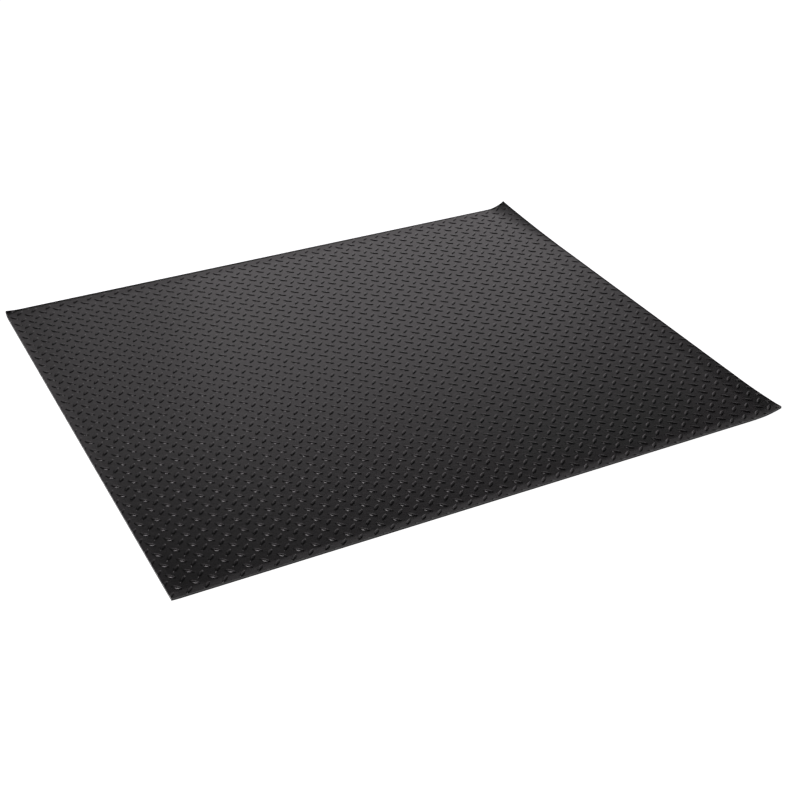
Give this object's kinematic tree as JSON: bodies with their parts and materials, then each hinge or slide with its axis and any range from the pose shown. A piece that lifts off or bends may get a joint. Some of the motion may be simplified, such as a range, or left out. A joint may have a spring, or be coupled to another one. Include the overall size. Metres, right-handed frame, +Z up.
{
  "type": "anti fatigue mat",
  "caption": "Thin rectangular floor mat for standing on: embossed diamond tread sheet over a foam core and a grip backing, with corners that curl up slightly.",
  "frame": {"origin": "centre of the underside, on the floor", "axes": "+X along the long side, +Y along the short side towards the back, +Z up from the floor"},
  "size_m": [1.2, 1, 0.0209],
  "materials": {
    "tread_vinyl": "matte black embossed vinyl",
    "foam": "black closed cell foam, cut edge",
    "backing_vinyl": "black vinyl with a fine grip grain"
  },
  "bodies": {
    "root": {"tread_sheet": "tread_vinyl", "foam_core": "foam", "grip_backing": "backing_vinyl"}
  },
  "joints": []
}
